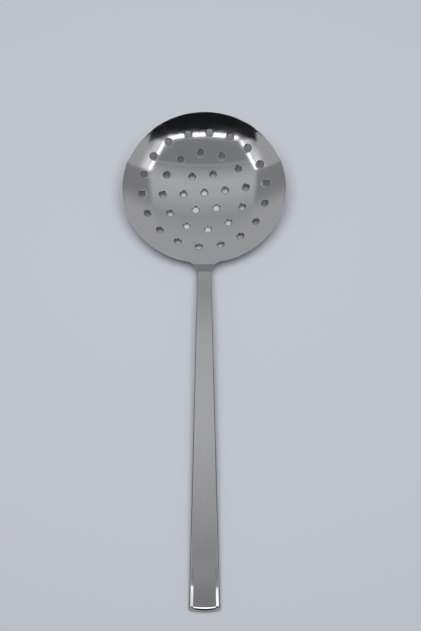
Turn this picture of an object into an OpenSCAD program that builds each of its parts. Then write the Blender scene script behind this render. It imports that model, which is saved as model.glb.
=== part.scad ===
// Perforated serving colander: a shallow round dish on a long flat tapering handle.
// It lies on a table, on the bottom of its dish and the tip of its handle.
// The handle points along -Y, and the middle of the whole length is at the origin.

/* [Dish] */
// Diameter across the rim, inside the sheet
dish_diameter = 110; // [90:1:140]
// Depth of the inside below the rim
dish_depth = 12; // [8:0.5:20]
// Thickness of the pressed sheet
sheet = 1.1; // [0.8:0.1:1.6]

/* [Drain holes] */
// Diameter of each punched hole
hole_diameter = 4.4; // [3:0.1:6]
// Distance from one ring of holes to the next, along the sheet
ring_pitch = 14.2; // [12:0.1:16]
// Rings of holes round the middle one
ring_count = 3; // [1:1:3]
// Holes in the first ring, and how many more each further ring has
holes_per_ring = 6; // [4:1:7]
// Turn of the first, second and third ring, clockwise from the far side
ring_turns = [24.5, 25, 5]; // [0:0.5:60]

/* [Tongue] */
// Width of the tongue where it leaves the rim
tongue_root_width = 13.4; // [11:0.2:18]
// Radius of the bend over the rim, on top of the sheet
tongue_bend = 1.8; // [1.7:0.1:3]
// Angle that the tongue drops outward, against the rim
tongue_drop = 9; // [4:1:20]
// Straight length of the tongue past its bend
tongue_length = 5; // [4:0.5:9]

/* [Handle] */
// Length from the end of the tongue to the tip
handle_length = 223; // [180:1:260]
// Width at the end of the tongue
handle_neck_width = 9.6; // [8:0.2:11]
// Width at the tip
handle_tip_width = 19.2; // [14:0.2:24]
// Thickness of the bar
handle_thickness = 3; // [2.4:0.1:4]
// Upward slope of the straight part, against the rim
handle_rise = 5.3; // [3:0.1:8]
// How much steeper the handle starts at the neck
neck_kick = 7.2; // [4:0.2:10]
// Length over which the neck bends to the slope of the straight part
neck_bend_length = 50; // [35:1:70]
// Radius of the long top edges
edge_radius = 1.2; // [0.6:0.1:1.6]
// Radius of the tip's outline, seen from above
tip_radius = 38; // [25:1:60]
// Radius of the tip's top edge
tip_edge_radius = 1.6; // [0.8:0.1:2]

/* [Tang and weld] */
// Length of the tang that lies under the tongue
tang_length = 4.2; // [3.4:0.1:5]
// Thickness of the tang
tang_thickness = 1.9; // [1.2:0.1:2.2]
// Step from each side of the handle in to the tang
tang_inset = 0.4; // [0.2:0.1:1]
// Side of the weld bead between the tang's end and the dish
weld_leg = 1.2; // [0.8:0.1:1.8]

/* [Hidden] */
$fn = 96;
steel = [0.78, 0.79, 0.80];
satin_steel = [0.70, 0.71, 0.72];
bead_steel = [0.62, 0.62, 0.62];
rim_radius = dish_diameter / 2;
// Steps in each small arc, and sides of the largest rounds
arc_steps = 10;
fine = 256;
// Length of a blank before it is cut, as a multiple of what is left of it
spare = 1.2;

// The dish is part of a hollow sphere, centred above the rim plane at z = 0.
sphere_inner = (rim_radius * rim_radius + dish_depth * dish_depth) / (2 * dish_depth);
sphere_outer = sphere_inner + sheet;
sphere_z = sphere_inner - dish_depth;

// The bend over the rim is centred on the sphere's radius through the rim.
bend_start = asin(rim_radius / sphere_inner);
bend_y = -(sphere_inner + tongue_bend) * sin(bend_start);
bend_z = sphere_z - (sphere_inner + tongue_bend) * cos(bend_start);
under_bend = tongue_bend - sheet;
// The wall goes this far into the bend.
root_overlap = 0.2;
root_angle = bend_start + root_overlap / sphere_outer * 180 / PI;

// Points of the neck as [y, z] in the rim's frame
function on_bend(radius, angle) = [bend_y + radius * sin(angle), bend_z + radius * cos(angle)];
function along_tongue(point, run) = point + run * [-cos(tongue_drop), -sin(tongue_drop)];
tongue_top = along_tongue(on_bend(tongue_bend, -tongue_drop), tongue_length);
tongue_under = along_tongue(on_bend(under_bend, -tongue_drop), tongue_length);
under_normal = [sin(tongue_drop), -cos(tongue_drop)];

// Handle frame: y runs from the tip to the neck, z = 0 is the flat underside.
bend_radius = neck_bend_length / (neck_kick * PI / 180);
straight_length = handle_length - bend_radius * sin(neck_kick);
neck_top = [handle_length, handle_thickness - bend_radius * (1 - cos(neck_kick))];
half_taper = atan((handle_tip_width - handle_neck_width) / 2 / handle_length);
// The handle frame's origin, placed so that neck_top meets tongue_top
handle_y = tongue_top[0] - neck_top[0] * cos(handle_rise) - neck_top[1] * sin(handle_rise);
handle_z = tongue_top[1] + neck_top[0] * sin(handle_rise) - neck_top[1] * cos(handle_rise);

// Lying on the table: the dish's bottom and the tip's lower edge share one plane.
tip_to_centre = [-handle_y, sphere_z - handle_z];
rest_tilt = asin(sphere_outer / norm(tip_to_centre)) - atan2(tip_to_centre[1], tip_to_centre[0]);
rest_lift = sphere_outer - sphere_z * cos(rest_tilt);
far_y = rim_edge_y(rest_tilt);
tip_lean = (handle_thickness - tip_edge_radius) * sin(rest_tilt - handle_rise);
tip_y = handle_y * cos(rest_tilt) - handle_z * sin(rest_tilt) - tip_lean;
shift_y = -(far_y + tip_y) / 2;

// Furthest point of the rim once it is tilted, on the outside of the sheet
function rim_edge_y(tilt) =
    max([for (r = [sphere_inner, sphere_outer])
        r * sin(bend_start) * cos(tilt) - (sphere_z - r * cos(bend_start)) * sin(tilt)]);

module at_rest() {
    translate([0, shift_y, rest_lift]) rotate([rest_tilt, 0, 0]) children();
}

module in_handle_frame() {
    translate([0, handle_y, handle_z]) rotate([-handle_rise, 0, 0]) children();
}

// Point of a quarter round, counted from its side to its top
function quarter(radius, step) = radius * [cos(90 * step / arc_steps), sin(90 * step / arc_steps)];

// A shape drawn as [y, z] points, of even width across X
module side_profile(points, width) {
    rotate([90, 0, 90]) linear_extrude(width, center = true) polygon(points);
}

// The cone from the sphere's centre through the rim, which trims the sheet square.
// Across the tongue it goes on to a flat cut, so that wall and tongue are one sheet.
wall_reach = sphere_outer * spare;
module rim_cone() {
    translate([0, 0, sphere_z]) {
        rotate_extrude()
            polygon([[0, 0], [0, -wall_reach], wall_reach * [sin(bend_start), -cos(bend_start)]]);
        side_profile([[0, 0], [0, -wall_reach], -wall_reach * [sin(root_angle), cos(root_angle)]],
            tongue_root_width);
    }
}

module drain_hole(ring, angle) {
    tip_over = ring * ring_pitch / sphere_inner * 180 / PI;
    translate([0, 0, sphere_z]) rotate([0, 0, -angle]) rotate([tip_over, 0, 0])
        translate([0, 0, -sphere_outer - sheet]) cylinder(h = 3 * sheet, d = hole_diameter);
}

module drain_holes() {
    drain_hole(0, 0);
    for (ring = [1 : ring_count])
        for (i = [0 : ring * holes_per_ring - 1])
            drain_hole(ring, ring_turns[ring - 1] + i * 360 / (ring * holes_per_ring));
}

// Side view of the sheet where it bends over the rim and runs out as the tongue
function bent_sheet() = concat(
    [for (i = [0 : arc_steps]) on_bend(tongue_bend, bend_angle(i))],
    [tongue_top, tongue_under],
    [for (i = [arc_steps : -1 : 0]) on_bend(under_bend, bend_angle(i))]
);
function bend_angle(step) = bend_start - step * (bend_start + tongue_drop) / arc_steps;

module bowl() {
    color(steel) at_rest() {
        difference() {
            intersection() {
                translate([0, 0, sphere_z]) difference() {
                    sphere(sphere_outer, $fn = fine);
                    sphere(sphere_inner, $fn = fine);
                }
                rim_cone();
            }
            drain_holes();
        }
        intersection() {
            side_profile(bent_sheet(), 3 * tongue_root_width);
            translate([0, 0, -dish_depth]) linear_extrude(2 * dish_depth) tongue_plan();
        }
    }
}

// Plan of the tongue, from its sweeps at the rim to the handle's neck width
module tongue_plan() {
    end_half = handle_neck_width / 2;
    root_half = tongue_root_width / 2;
    polygon([
        [-root_half, -rim_radius + sheet], [root_half, -rim_radius + sheet],
        [root_half, bend_y - tongue_bend / 2], [end_half, tongue_top[0] - sheet],
        [-end_half, tongue_top[0] - sheet], [-root_half, bend_y - tongue_bend / 2]
    ]);
}

// Side view of the bar in the handle frame, with its neck bent down to the tongue
bar_spare = handle_length * (spare - 1);
function bar_side() = concat(
    [[-bar_spare, handle_thickness], [-bar_spare, 0], [straight_length, 0]],
    [for (i = [1 : arc_steps]) on_neck(bend_radius - handle_thickness, neck_kick * i / arc_steps)],
    [for (i = [arc_steps : -1 : 0]) on_neck(bend_radius, neck_kick * i / arc_steps)]
);
function on_neck(radius, angle) =
    [straight_length + radius * sin(angle), handle_thickness - bend_radius + radius * cos(angle)];

// Section of the bar across one side, with its long top edge rounded
module rounded_side() {
    reach = handle_tip_width * 2;
    corner = [handle_tip_width / 2 - edge_radius, handle_thickness - edge_radius];
    polygon(concat(
        [[-reach, -reach], [handle_tip_width / 2, -reach]],
        [for (i = [0 : arc_steps]) corner + quarter(edge_radius, i)],
        [[-reach, handle_thickness]]
    ));
}

module half_bar(side) {
    mirror([side < 0 ? 1 : 0, 0, 0])
        translate([handle_tip_width / 2, 0, 0]) rotate([0, 0, half_taper])
            translate([-handle_tip_width / 2, handle_length + bar_spare, 0]) rotate([90, 0, 0])
                linear_extrude(handle_length + 2 * bar_spare) rounded_side();
}

// Round end of the bar, with its top edge rounded, and the open run behind it
module tip_form() {
    corner = [tip_radius - tip_edge_radius, handle_thickness - tip_edge_radius];
    translate([0, tip_radius, 0]) rotate_extrude($fn = fine)
        polygon(concat(
            [[0, -bar_spare], [tip_radius, -bar_spare]],
            [for (i = [0 : arc_steps]) corner + quarter(tip_edge_radius, i)],
            [[0, handle_thickness]]
        ));
    translate([-tip_radius, tip_radius, -bar_spare])
        cube([2 * tip_radius, handle_length, handle_thickness + bar_spare]);
}

// The tang lies against the tongue's underside, and starts at the bar's front end.
neck_slope = handle_rise + neck_kick;
// The tang's root goes this far into the bar, and keeps this share of the bar from its faces.
bar_overlap = 1;
face_margin = 0.02;
into_bar = bar_overlap * [-cos(neck_slope), sin(neck_slope)];
bar_down = handle_thickness * [-sin(neck_slope), -cos(neck_slope)];
tang_front = along_tongue(tongue_under, -tang_length);
tang_low = tang_front + tang_thickness * under_normal;
function tang_side() = [
    tongue_top, tongue_under, tang_front, tang_low,
    tongue_top + bar_down * (1 - face_margin) + into_bar, tongue_top + bar_down * face_margin + into_bar
];

module tang() {
    side_profile(tang_side(), handle_neck_width - 2 * tang_inset);
}

module handle() {
    color(satin_steel) at_rest() {
        in_handle_frame() intersection() {
            side_profile(bar_side(), 2 * handle_tip_width);
            half_bar(1);
            half_bar(-1);
            tip_form();
        }
        tang();
    }
}

// A point of the dish's wall, a run back from the rim along the sheet
function on_wall(radius, run) =
    let (angle = bend_start - run / sphere_outer * 180 / PI)
    [-radius * sin(angle), sphere_z - radius * cos(angle)];

// Side view of the bead, drawn into the sheet that is then cut away from it
function bead_side() = [
    tang_front, tang_front + weld_leg * under_normal, on_wall(sphere_outer, weld_leg * 2),
    on_wall(sphere_inner + sheet / 2, weld_leg * 2), on_bend(tongue_bend - sheet / 2, bend_start),
    on_bend(tongue_bend - sheet / 2, 0), tang_front - sheet / 2 * under_normal
];

module neck_weld() {
    color(bead_steel) at_rest() difference() {
        side_profile(bead_side(), handle_neck_width - 2 * tang_inset);
        translate([0, 0, sphere_z]) sphere(sphere_outer, $fn = fine);
        side_profile(bent_sheet(), 3 * tongue_root_width);
    }
}

bowl();
handle();
neck_weld();
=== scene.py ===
import math

import bpy
from mathutils import Matrix, Vector
from mathutils.geometry import delaunay_2d_cdt


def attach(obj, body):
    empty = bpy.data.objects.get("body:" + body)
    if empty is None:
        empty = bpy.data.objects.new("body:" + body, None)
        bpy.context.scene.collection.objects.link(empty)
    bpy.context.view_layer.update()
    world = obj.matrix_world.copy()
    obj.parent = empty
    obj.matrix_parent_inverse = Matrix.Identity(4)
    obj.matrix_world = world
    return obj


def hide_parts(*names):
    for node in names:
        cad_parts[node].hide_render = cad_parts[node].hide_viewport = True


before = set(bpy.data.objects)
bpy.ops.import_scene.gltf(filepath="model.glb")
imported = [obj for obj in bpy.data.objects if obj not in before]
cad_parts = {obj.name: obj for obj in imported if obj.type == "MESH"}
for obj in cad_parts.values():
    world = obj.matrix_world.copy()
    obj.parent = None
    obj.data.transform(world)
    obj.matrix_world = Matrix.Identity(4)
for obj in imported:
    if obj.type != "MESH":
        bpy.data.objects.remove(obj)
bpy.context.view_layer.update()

# The camera looks down steeply along the handle, from in front of its tip.
# It is turned by a hair, as the photograph is.
camera_place = Vector((0.00965, -0.33068, 0.77412))
camera_right = Vector((0.99996, -0.00247, -0.00847))
camera_up = Vector((0.00577, 0.90908, 0.41659))
sensor = 36.0
focal_pixels = 1300.0
picture_height = 631.0

camera = bpy.data.objects.new("camera", bpy.data.cameras.new("camera"))
bpy.context.collection.objects.link(camera)
camera.data.sensor_width = sensor
camera.data.lens = sensor * focal_pixels / picture_height
camera_back = camera_right.cross(camera_up)
camera.matrix_world = Matrix.Translation(camera_place) @ Matrix(
    (camera_right, camera_up, camera_back)).transposed().to_4x4()
bpy.context.scene.camera = camera


# The dish is pressed from thin stainless sheet, polished inside and out.
# Its drain holes are punched from above, which draws their top edges down,
# and its rim runs out into a short tongue over the handle's end.
rim_radius = 0.055
dish_depth = 0.012
sheet = 0.0011
sphere = (rim_radius ** 2 + dish_depth ** 2) / (2 * dish_depth)
sphere_height = sphere - dish_depth
hole_radius = 0.0022
hole_lip = 0.0008
lip_drop = 0.00042
burr_drop = 0.0001
burr_width = 0.0003
ring_pitch = 0.0142
ring_turns = (24.5, -5.0, 5.0)
tongue_end = 0.06095
tongue_root = 0.0067
root_place = 0.05665
tongue_half = 0.0048
sweep_radius = 0.016
neck_start = 0.045
neck_top = 0.0525
neck_half_width = 0.016
ridge_place = 0.0557
tongue_drop = math.radians(9)
tongue_slope = math.tan(tongue_drop)
ridge_softness = 0.00015
edge_softness = 0.00003
# The rim's edge is cut square to the sheet, and turns upright where the tongue leaves it.
upright_place = 0.0545
square_fade = 0.0025
# The dish lies tilted, on its bottom and on the handle's tip.
rest_tilt = math.radians(6.88285)
rest_place = Vector((0, 0.114116, 0.0139651))


def at_rest(point):
    """A point of the rim's frame, laid on the table."""
    return Matrix.Rotation(rest_tilt, 3, "X") @ Vector(point) + rest_place


def wall_height(x, y):
    return sphere_height - math.sqrt(sphere ** 2 - x * x - y * y)


def tongue_height(y):
    return wall_height(0, ridge_place) + (y + ridge_place) * tongue_slope


def sheet_top(x, y):
    """Height of the polished upper side: the dish, bent over the rim into the tongue."""
    dish = wall_height(x, y)
    if y > -neck_start:
        return dish
    tongue = tongue_height(y)
    lower, apart = min(dish, tongue), abs(dish - tongue)
    blend = max(0.0, 1 - apart / (4 * ridge_softness))
    return lower - blend ** 2 * ridge_softness


def sheet_under(x, y, thickness):
    """The point of the underside below a point of the top."""
    square = min(1.0, max(0.0, (y + upright_place) / square_fade))
    spread = 1 + thickness * square / sphere
    x, y = x * spread, y * spread
    z = sphere_height - math.sqrt((sphere + thickness) ** 2 - x * x - y * y)
    if y < -neck_start:
        z = min(z, tongue_height(y) - thickness / math.cos(tongue_drop))
    return Vector((x, y, z))


def top_normal(x, y):
    step = 1e-5
    slope_x = (sheet_top(x + step, y) - sheet_top(x - step, y)) / (2 * step)
    slope_y = (sheet_top(x, y + step) - sheet_top(x, y - step)) / (2 * step)
    return Vector((-slope_x, -slope_y, 1)).normalized()


def hole_places():
    """Centre of each hole in plan, with the middle one first."""
    places = [(0.0, 0.0)]
    for ring, turn in enumerate(ring_turns, start=1):
        reach = sphere * math.sin(ring * ring_pitch / sphere)
        for i in range(6 * ring):
            angle = math.radians(turn + i * 360 / (6 * ring))
            places.append((reach * math.sin(angle), reach * math.cos(angle)))
    return places


def dish_outline(inset):
    """Plan of the sheet: the rim, the two sweeps and the tongue, as one loop."""
    corner = math.hypot(tongue_root, root_place)
    reach = rim_radius + sweep_radius
    apart = math.acos((reach ** 2 + corner ** 2 - sweep_radius ** 2) / (2 * reach * corner))
    touch = math.atan2(tongue_root, root_place) + apart
    centre_x, centre_y = reach * math.sin(touch), -reach * math.cos(touch)
    sweep_end = math.atan2(centre_x - tongue_root, -root_place - centre_y)
    half_loop = []
    for i in range(100):
        angle = math.pi + (touch - math.pi) * i / 100
        half_loop.append(((rim_radius - inset) * math.sin(angle), -(rim_radius - inset) * math.cos(angle)))
    for i in range(13):
        angle = touch + (sweep_end - touch) * i / 12
        half_loop.append((centre_x - (sweep_radius + inset) * math.sin(angle),
                          centre_y + (sweep_radius + inset) * math.cos(angle)))
    last_x, last_y = half_loop[-1]
    for i in range(1, 8):
        half_loop.append((last_x + (tongue_half - inset - last_x) * i / 7,
                          last_y + (inset - tongue_end - last_y) * i / 7))
    return half_loop + [(-x, y) for x, y in reversed(half_loop[1:])]


def inside(loop, x, y):
    """Whether a point of the plan lies inside a closed loop."""
    crossings = 0
    for (ax, ay), (bx, by) in zip(loop, loop[1:] + loop[:1]):
        if (ay > y) != (by > y) and x < ax + (bx - ax) * (y - ay) / (by - ay):
            crossings += 1
    return crossings % 2 == 1


def staggered(spacing, half, low, high):
    """Points of an even triangular grid, between two heights of the plan and within half of its middle."""
    rows, columns = int((high - low) / (spacing * 0.866)), int(half / spacing)
    return [((column + 0.5 * (row % 2)) * spacing, low + row * spacing * 0.866)
            for row in range(rows + 1) for column in range(-columns - 1, columns + 1)]


def circle(centre, radius, count=28):
    return [(centre[0] + radius * math.cos(2 * math.pi * i / count),
             centre[1] + radius * math.sin(2 * math.pi * i / count)) for i in range(count)]


def to_nearest_hole(x, y):
    """Distance in plan to the middle of the nearest hole."""
    return min(math.hypot(x - hx, y - hy) for hx, hy in holes)


def hole_drop(x, y, drop, lip):
    """How far a punched edge pulls the surface in, beside a hole."""
    share = (hole_radius + lip - to_nearest_hole(x, y)) / lip
    return drop * min(max(share, 0.0), 1.0) ** 2


holes = hole_places()


def make_bowl():
    points, edges = [], []

    def add_loop(loop):
        start = len(points)
        points.extend(Vector(p) for p in loop)
        edges.extend((start + i, start + (i + 1) % len(loop)) for i in range(len(loop)))

    add_loop(dish_outline(0.0))
    add_loop(dish_outline(0.00022))
    for hole in holes:
        for share in (0.0, 0.12, 0.3, 0.55, 0.8, 1.0, 1.3):
            add_loop(circle(hole, hole_radius + hole_lip * share))
    clear = hole_radius + hole_lip * 1.6
    dish_loop, neck_loop = dish_outline(0.0012), dish_outline(0.0005)
    grid = [(x, y) for x, y in staggered(0.0016, rim_radius, -rim_radius, rim_radius)
            if inside(dish_loop, x, y) and (y > -neck_top or abs(x) > neck_half_width)]
    grid += [(x, y) for x, y in staggered(0.0004, neck_half_width, -tongue_end, -neck_top)
             if inside(neck_loop, x, y)]
    for x, y in grid:
        if to_nearest_hole(x, y) > clear:
            points.append(Vector((x, y)))
    flat, _, faces, _, _, _ = delaunay_2d_cdt(points, edges, [], 1, 1e-7)

    def kept(face):
        x = sum(flat[i].x for i in face) / len(face)
        y = sum(flat[i].y for i in face) / len(face)
        return to_nearest_hole(x, y) > hole_radius * 0.985

    faces = [face for face in faces if kept(face)]
    edge_sides = {}
    for face in faces:
        for a, b in zip(face, face[1:] + face[:1]):
            edge_sides[(a, b)] = True
    open_edges = [(a, b) for a, b in edge_sides if (b, a) not in edge_sides]
    rim_points = {i for pair in open_edges for i in pair}
    upper, lower = [], []
    for index, point in enumerate(flat):
        x, y = point.x, point.y
        normal = top_normal(x, y)
        base = Vector((x, y, sheet_top(x, y)))
        at_hole = to_nearest_hole(x, y) < hole_radius * 1.01
        soften = edge_softness if index in rim_points and not at_hole and y > -ridge_place else 0.0
        drawn_in = hole_drop(x, y, lip_drop, hole_lip) + soften
        under = sheet - hole_drop(x, y, burr_drop, burr_width) - soften
        upper.append(at_rest(base - normal * drawn_in))
        lower.append(at_rest(sheet_under(x, y, under)))
    count = len(upper)
    shell = [tuple(face) for face in faces]
    shell += [tuple(i + count for i in reversed(face)) for face in faces]
    shell += [(b, a, a + count, b + count) for a, b in open_edges]
    mesh = bpy.data.meshes.new("polished_bowl")
    mesh.from_pydata(upper + lower, [], shell)
    mesh.update()
    mesh.shade_smooth()
    piece = bpy.data.objects.new("polished_bowl", mesh)
    bpy.context.collection.objects.link(piece)
    smooth_normals(piece, 46)
    return piece


def smooth_normals(piece, angle):
    """Smooth shading that keeps the edges sharper than the angle crisp."""
    bpy.context.view_layer.objects.active = piece
    piece.select_set(True)
    bpy.ops.object.shade_smooth_by_angle(angle=math.radians(angle))
    piece.select_set(False)


def steel_finish(name, tint, roughness, wear, streak_scale, bump):
    """Stainless steel: fine polishing marks, faint smears and a slightly uneven gloss."""
    material = bpy.data.materials.new(name)
    material.use_nodes = True
    nodes, links = material.node_tree.nodes, material.node_tree.links
    shader = nodes["Principled BSDF"]
    shader.inputs["Metallic"].default_value = 1.0
    place = nodes.new("ShaderNodeTexCoord")
    stretch = nodes.new("ShaderNodeMapping")
    stretch.inputs["Scale"].default_value = streak_scale
    links.new(place.outputs["Object"], stretch.inputs["Vector"])
    streaks = nodes.new("ShaderNodeTexNoise")
    streaks.inputs["Scale"].default_value = 1.0
    streaks.inputs["Detail"].default_value = 6.0
    links.new(stretch.outputs["Vector"], streaks.inputs["Vector"])
    smears = nodes.new("ShaderNodeTexNoise")
    smears.inputs["Scale"].default_value = 55.0
    smears.inputs["Detail"].default_value = 4.0
    links.new(place.outputs["Object"], smears.inputs["Vector"])
    gloss = nodes.new("ShaderNodeMapRange")
    gloss.inputs["From Min"].default_value = 0.3
    gloss.inputs["From Max"].default_value = 0.7
    gloss.inputs["To Min"].default_value = roughness - wear
    gloss.inputs["To Max"].default_value = roughness + wear
    links.new(smears.outputs["Fac"], gloss.inputs["Value"])
    links.new(gloss.outputs["Result"], shader.inputs["Roughness"])
    colour = nodes.new("ShaderNodeValToRGB")
    colour.color_ramp.elements[0].position = 0.3
    colour.color_ramp.elements[0].color = (*[c * 0.94 for c in tint], 1)
    colour.color_ramp.elements[1].position = 0.7
    colour.color_ramp.elements[1].color = (*tint, 1)
    links.new(streaks.outputs["Fac"], colour.inputs["Fac"])
    links.new(colour.outputs["Color"], shader.inputs["Base Color"])
    relief = nodes.new("ShaderNodeBump")
    relief.inputs["Strength"].default_value = bump
    relief.inputs["Distance"].default_value = 0.00002
    links.new(streaks.outputs["Fac"], relief.inputs["Height"])
    links.new(relief.outputs["Normal"], shader.inputs["Normal"])
    return material


bowl = make_bowl()
mirror_steel = steel_finish("mirror_steel", (0.60, 0.605, 0.62), 0.07, 0.02, (900, 900, 900), 0.03)
bowl.data.materials.append(mirror_steel)
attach(bowl, "root")
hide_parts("bowl")


# The handle is one forged stainless bar, ground flat and polished along its length.
# It is thinned to a tang under the tongue, and its long edges and its tip are rounded.
handle_length = 0.223
neck_half = 0.0048
tip_half = 0.0096
bar_thickness = 0.003
bar_rise = math.radians(5.3)
neck_kick = math.radians(7.2)
neck_bend = 0.05
bar_origin = Vector((0, -0.283004, 0.0200948))
tip_sweep = 0.038
crown = 0.00012
# Near the tip, flats ground along the long edges and across the end take the rounding's place.
flat_width = 0.0017
flat_tilt = math.radians(12.4)
flat_run = 0.014
flat_fade = 0.012
tip_round = 0.0013
corner_share = 0.3
nose_length = 0.0021
nose_tilt = math.radians(7.2)
# The tang starts inside the bar's front end, on the line of the tongue's top.
tang_root = Vector((0, -0.06215, -0.00068))
tang_inset = 0.0004


def bar_point(run, x, height):
    """A point of the bar: run from the tip along the top, x across, height over the underside."""
    straight = handle_length - neck_bend
    radius = neck_bend / neck_kick
    if run <= straight:
        y, z = run, height
    else:
        angle = (run - straight) / radius
        y = straight + (radius - bar_thickness + height) * math.sin(angle)
        z = bar_thickness - radius + (radius - bar_thickness + height) * math.cos(angle)
    local = Matrix.Rotation(-bar_rise, 3, "X") @ Vector((x, y, z)) + bar_origin
    return at_rest(local)


def bar_section(half, bottom, thick, top_round, tilt):
    """Half-round edges, flats beside them, a slightly crowned top and a flat underside, as (x, height)."""
    low_round = 0.0005
    room = thick - bottom - flat_width * math.tan(tilt)
    fit = min(1.0, room / (top_round + low_round))
    top_round, low_round = top_round * fit, low_round * fit
    right = []
    for i in range(5):
        angle = math.pi / 2 * i / 4
        right.append((half - low_round * (1 - math.sin(angle)),
                      bottom + low_round * (1 - math.cos(angle))))
    round_x = half - top_round
    flat_x = round_x + top_round * math.sin(tilt)
    inner_x = flat_x - flat_width
    inner_z = thick - crown * (inner_x / half) ** 2
    flat_z = inner_z - flat_width * math.tan(tilt)
    for i in range(9):
        angle = (math.pi / 2 - tilt) * i / 8
        right.append((round_x + top_round * math.cos(angle),
                      flat_z + top_round * (math.sin(angle) - math.cos(tilt))))
    for share in (0.1, 0.9, 1.0):
        right.append((flat_x - flat_width * share, flat_z + (inner_z - flat_z) * share))
    for x in (inner_x - 0.0001, 0.66 * inner_x, 0.33 * inner_x, 0.0):
        right.append((x, thick - crown * (x / half) ** 2))
    return right + [(-x, z) for x, z in reversed(right[:-1])]


def make_handle():
    rings = []
    stations = []
    for i in range(7):
        angle = math.pi / 2 * i / 6
        stations.append((tip_round * (1 - math.cos(angle)), tip_round * (1 - math.sin(angle))))
    crisp = 0.0001
    stations += [(run, 0.0) for run in (
        tip_round + crisp, nose_length - crisp, nose_length, nose_length + crisp)]
    stations += [(0.0035 + 0.0017 * i, 0.0) for i in range(129)]
    stations.append((handle_length, 0.0))
    for run, shrink in stations:
        share = run / handle_length
        half = tip_half + (neck_half - tip_half) * share
        top_round = 0.0014 - 0.0005 * share
        lowered = max(0.0, nose_length - run) * math.tan(nose_tilt)
        tilt = flat_tilt * min(1.0, max(0.0, (flat_run + flat_fade - run) / flat_fade))
        side = corner_share * shrink
        ring = []
        for x, height in bar_section(half - side, side, bar_thickness - shrink - lowered, top_round, tilt):
            fade = max(0.0, 1 - run / 0.012)
            bow = (tip_sweep - math.sqrt(tip_sweep ** 2 - x * x)) * fade
            ring.append(bar_point(run + bow, x, height))
        rings.append(ring)
    points = [p for ring in rings for p in ring]
    size = len(rings[0])
    faces = []
    for r in range(len(rings) - 1):
        for i in range(size):
            j = (i + 1) % size
            faces.append((r * size + i, (r + 1) * size + i, (r + 1) * size + j, r * size + j))
    faces.append(tuple(range(size)))
    faces.append(tuple((len(rings) - 1) * size + i for i in reversed(range(size))))
    mesh = bpy.data.meshes.new("forged_handle")
    mesh.from_pydata(points, [], faces)
    mesh.validate()
    mesh.update()
    piece = bpy.data.objects.new("forged_handle", mesh)
    bpy.context.collection.objects.link(piece)
    smooth_normals(piece, 50)
    return piece


def make_tang():
    """The thinned end of the bar, face to face with the tongue's underside."""
    along = Vector((0, math.cos(tongue_drop), math.sin(tongue_drop)))
    down = Vector((0, math.sin(tongue_drop), -math.cos(tongue_drop)))
    top = tang_root + down * sheet
    half = neck_half - tang_inset
    points = []
    for run, thick in ((0.0, 0.0019), (0.0045, 0.0019), (0.0049, 0.0015)):
        for x, depth in ((-half, 0.0), (half, 0.0), (half, thick - 0.0004), (half - 0.0004, thick),
                         (-half + 0.0004, thick), (-half, thick - 0.0004)):
            points.append(at_rest(top + along * run + down * depth + Vector((x, 0, 0))))
    faces = [tuple(range(5, -1, -1)), tuple(range(12, 18))]
    for r in range(2):
        for i in range(6):
            j = (i + 1) % 6
            faces.append((r * 6 + i, r * 6 + j, (r + 1) * 6 + j, (r + 1) * 6 + i))
    mesh = bpy.data.meshes.new("handle_tang")
    mesh.from_pydata(points, [], faces)
    mesh.update()
    piece = bpy.data.objects.new("handle_tang", mesh)
    bpy.context.collection.objects.link(piece)
    smooth_normals(piece, 30)
    return piece


handle = make_handle()
tang = make_tang()
bar_steel = steel_finish("polished_bar_steel", (0.60, 0.60, 0.61), 0.085, 0.02, (2600, 60, 2600), 0.08)
for piece in (handle, tang):
    piece.data.materials.append(bar_steel)
    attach(piece, "root")
    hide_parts("handle")


# A short bead of weld fills the corner between the tang and the outside of the dish.
# It is ground by hand, so it stays duller than the polished steel beside it.
weld_steel = steel_finish("ground_weld_steel", (0.52, 0.51, 0.50), 0.36, 0.06, (700, 700, 700), 0.6)
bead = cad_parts["neck_weld"]
for slot in bead.material_slots:
    slot.material = weld_steel
if not bead.material_slots:
    bead.data.materials.append(weld_steel)


# The table is a pale, smooth sheet of paper that lies flat under the whole object.
# It runs out of the picture on all sides, and only carries the object's shadow.
table_colour = (0.60, 0.625, 0.68)
table_mesh = bpy.data.meshes.new("table")
reach = 3.0
table_mesh.from_pydata([(-reach, -reach, 0), (reach, -reach, 0), (reach, reach, 0), (-reach, reach, 0)],
                       [], [(0, 1, 2, 3)])
table = bpy.data.objects.new("table", table_mesh)
bpy.context.collection.objects.link(table)
table_finish = bpy.data.materials.new("table_sheet")
table_finish.use_nodes = True
sheet_shader = table_finish.node_tree.nodes["Principled BSDF"]
sheet_shader.inputs["Roughness"].default_value = 0.85
sheet_grain = table_finish.node_tree.nodes.new("ShaderNodeTexNoise")
sheet_grain.inputs["Scale"].default_value = 9.0
sheet_tone = table_finish.node_tree.nodes.new("ShaderNodeValToRGB")
sheet_tone.color_ramp.elements[0].color = (*[c * 0.985 for c in table_colour], 1)
sheet_tone.color_ramp.elements[1].color = (*table_colour, 1)
table_finish.node_tree.links.new(sheet_grain.outputs["Fac"], sheet_tone.inputs["Fac"])
table_finish.node_tree.links.new(sheet_tone.outputs["Color"], sheet_shader.inputs["Base Color"])
table_mesh.materials.append(table_finish)


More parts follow.
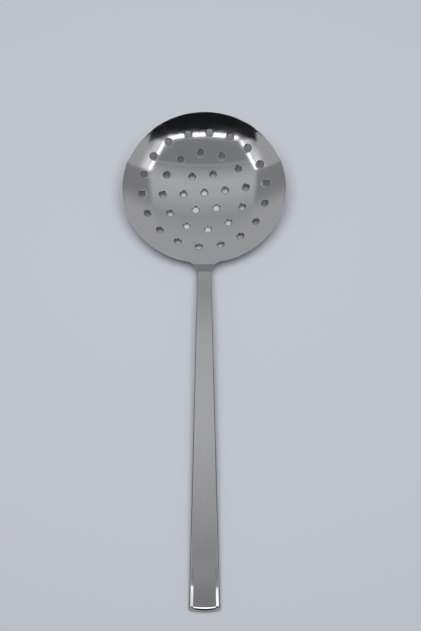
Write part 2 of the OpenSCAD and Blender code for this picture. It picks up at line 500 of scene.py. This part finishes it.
# The light is a pale tent with a bright strip round three sides of its roof, and an open front.
# Its roof is one card far above the table, which only the polished steel sees.
card_height = 1.6
card_reach = 9.0
card_mesh = bpy.data.meshes.new("tent_roof")
card_mesh.from_pydata([(-card_reach, -card_reach, 0), (card_reach, -card_reach, 0),
                       (card_reach, card_reach, 0), (-card_reach, card_reach, 0)], [], [(0, 1, 2, 3)])
card = bpy.data.objects.new("tent_roof", card_mesh)
bpy.context.collection.objects.link(card)
card.matrix_world = Matrix.Translation(at_rest((0, 0, card_height))) @ Matrix.Rotation(rest_tilt, 4, "X")
card.visible_camera = False
card.visible_diffuse = False
card.visible_shadow = False
card.visible_transmission = False
tent = bpy.data.materials.new("tent_roof")
tent.use_nodes = True
tent_nodes, tent_links = tent.node_tree.nodes, tent.node_tree.links
tent_nodes.clear()


def number(operation, first, second=None, third=None):
    """One Math node on numbers or other nodes' outputs."""
    node = tent_nodes.new("ShaderNodeMath")
    node.operation = operation
    for index, value in enumerate((first, second, third)):
        if value is None:
            continue
        if isinstance(value, (int, float)):
            node.inputs[index].default_value = value
        else:
            tent_links.new(value, node.inputs[index])
    return node.outputs[0]


def soft_step(value, start, end):
    node = tent_nodes.new("ShaderNodeMapRange")
    node.interpolation_type = "SMOOTHSTEP"
    tent_links.new(value, node.inputs["Value"])
    node.inputs["From Min"].default_value = start
    node.inputs["From Max"].default_value = end
    return node.outputs["Result"]


tent_place = tent_nodes.new("ShaderNodeTexCoord")
tent_axes = tent_nodes.new("ShaderNodeSeparateXYZ")
tent_links.new(tent_place.outputs["Object"], tent_axes.inputs[0])
across = number("ABSOLUTE", number("DIVIDE", tent_axes.outputs["X"], card_height))
depth = number("DIVIDE", tent_axes.outputs["Y"], card_height)
# Brightness from the front (-0.2) to the back (1.8), along the middle of the roof and the backdrop
depth_share = number("DIVIDE", number("ADD", depth, 0.2), 2.0)
backdrop = tent_nodes.new("ShaderNodeValToRGB")
tones = [(0.0, 0.29), (0.160, 0.29), (0.172, 0.46), (0.180, 0.34), (0.20, 0.45), (0.26, 0.62), (0.33, 0.58),
         (0.40, 0.50), (0.49, 0.42), (0.58, 0.46), (0.75, 0.50), (1.0, 0.50)]
while len(backdrop.color_ramp.elements) < len(tones):
    backdrop.color_ramp.elements.new(0.5)
for element, (position, tone) in zip(backdrop.color_ramp.elements, tones):
    element.position = position
    element.color = (tone, tone * 1.01, tone * 1.03, 1)
tent_links.new(depth_share, backdrop.inputs["Fac"])
# The side walls are darker behind the roof's rear corners, and brighter beside it.
side_wall = soft_step(across, 0.50, 0.56)
behind = soft_step(depth, 0.24, 0.27)
wall_tone = number("SUBTRACT", 0.50, number("MULTIPLY", behind, number("MULTIPLY", 0.20, soft_step(
    number("MULTIPLY", depth, -1.0), -0.9, -0.5))))
walled = tent_nodes.new("ShaderNodeMix")
walled.data_type = "RGBA"
tent_links.new(side_wall, walled.inputs["Factor"])
tent_links.new(backdrop.outputs["Color"], walled.inputs["A"])
tent_links.new(wall_tone, walled.inputs["B"])
# Low beside the tent, where only steep edges look, it is dark.
beyond = soft_step(across, 1.2, 1.6)
dimmed = tent_nodes.new("ShaderNodeMix")
dimmed.data_type = "RGBA"
dimmed.inputs["B"].default_value = (0.05, 0.052, 0.055, 1)
tent_links.new(beyond, dimmed.inputs["Factor"])
tent_links.new(walled.outputs["Result"], dimmed.inputs["A"])
# The open front is dark, as wide as the roof.
front_line = number("ADD", -0.175, number("MULTIPLY", number("MULTIPLY", across, across), 0.45))
in_front = number("SUBTRACT", 1.0, soft_step(number("SUBTRACT", depth, front_line), -0.012, 0.004))
opening = number("MULTIPLY", in_front, number("SUBTRACT", 1.0, soft_step(across, 0.53, 0.56)))
opened = tent_nodes.new("ShaderNodeMix")
opened.data_type = "RGBA"
opened.inputs["B"].default_value = (0.012, 0.013, 0.014, 1)
tent_links.new(opening, opened.inputs["Factor"])
tent_links.new(dimmed.outputs["Result"], opened.inputs["A"])
# Bright strips: one along the roof's front edge, and one along each side
front_strip = number("COMPARE", depth, number("ADD", front_line, 0.022), 0.015)
front_strip = number("MULTIPLY", front_strip, number("LESS_THAN", across, 0.34))
side_line = number("ADD", 0.36, number("MULTIPLY", number("ADD", depth, 0.09), 0.5))
side_strip = number("COMPARE", across, side_line, 0.018)
in_depth = number("MULTIPLY", number("GREATER_THAN", depth, -0.08), number("LESS_THAN", depth, 0.25))
side_strip = number("MULTIPLY", side_strip, in_depth)
beside = number("SUBTRACT", across, number("ADD", side_line, 0.03))
side_glow = number("MULTIPLY", number("GREATER_THAN", beside, 0.0), number(
    "SUBTRACT", 1.0, soft_step(beside, 0.0, 0.13)))
side_glow = number("MULTIPLY", number("MULTIPLY", side_glow, in_depth), 0.22)
strips = number("MAXIMUM", front_strip, number("MAXIMUM", number("MULTIPLY", side_strip, 0.6), side_glow))
glow = tent_nodes.new("ShaderNodeEmission")
tent_links.new(opened.outputs["Result"], glow.inputs["Color"])
strip_glow = tent_nodes.new("ShaderNodeEmission")
strip_glow.inputs["Color"].default_value = (1, 1, 1, 1)
tent_links.new(number("MULTIPLY", strips, 3.2), strip_glow.inputs["Strength"])
both = tent_nodes.new("ShaderNodeAddShader")
tent_links.new(glow.outputs[0], both.inputs[0])
tent_links.new(strip_glow.outputs[0], both.inputs[1])
tent_output = tent_nodes.new("ShaderNodeOutputMaterial")
tent_links.new(both.outputs[0], tent_output.inputs["Surface"])
card_mesh.materials.append(tent)

world = bpy.data.worlds.new("tent_walls")
bpy.context.scene.world = world
world.use_nodes = True
world.node_tree.nodes["Background"].inputs["Color"].default_value = (0.47, 0.475, 0.49, 1)
world.node_tree.nodes["Background"].inputs["Strength"].default_value = 0.57


def add_lamp(name, place, size, power):
    lamp = bpy.data.lights.new(name, "AREA")
    lamp.shape = "RECTANGLE"
    lamp.size, lamp.size_y = size
    lamp.energy = power
    holder = bpy.data.objects.new(name, lamp)
    bpy.context.collection.objects.link(holder)
    holder.location = place
    holder.rotation_euler = (-Vector(place)).to_track_quat("-Z", "Y").to_euler()
    holder.visible_glossy = False


add_lamp("roof_light", (0.0, 0.08, 0.85), (1.1, 0.8), 6.4)

bpy.context.scene.view_settings.view_transform = "Standard"
